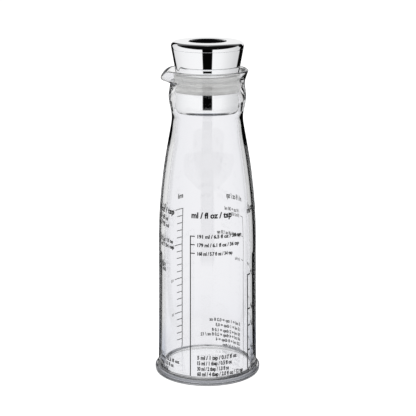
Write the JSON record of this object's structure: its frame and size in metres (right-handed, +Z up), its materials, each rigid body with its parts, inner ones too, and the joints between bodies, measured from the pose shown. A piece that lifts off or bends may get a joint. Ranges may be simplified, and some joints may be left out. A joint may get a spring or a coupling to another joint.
{
  "type": "salad dressing shaker bottle",
  "caption": "Clear plastic dressing shaker bottle with printed measuring scales, waisted neck, pouring lip and a conical chromed push-in stopper with a translucent silicone seal.",
  "frame": {"origin": "centre of the standing ring, on the table, on the bottle's axis", "axes": "+Z up along the bottle's axis, the pouring lip towards -X, the picture looks along +Y"},
  "size_m": [0.0644, 0.0644, 0.2024],
  "materials": {
    "clear_plastic": "gloss",
    "silicone": "satin",
    "chrome": "polished"
  },
  "bodies": {
    "bottle": {"bottle_body": "clear_plastic", "base_disc": "clear_plastic"},
    "seal": {"seal_ring": "silicone"},
    "stopper": {"stopper_shell": "chrome", "stopper_top": "chrome", "stopper_bottom": "chrome"}
  },
  "joints": [
    {"name": "stopper_lift", "type": "slide", "parent": "bottle", "child": "seal", "axis": [0, 0, 1], "range_m": [0, 0.04]},
    {"name": "stopper_twist", "type": "hinge", "parent": "seal", "child": "stopper", "pos_m": [0, 0, 0.178], "axis": [0, 0, 1], "continuous": true}
  ]
}
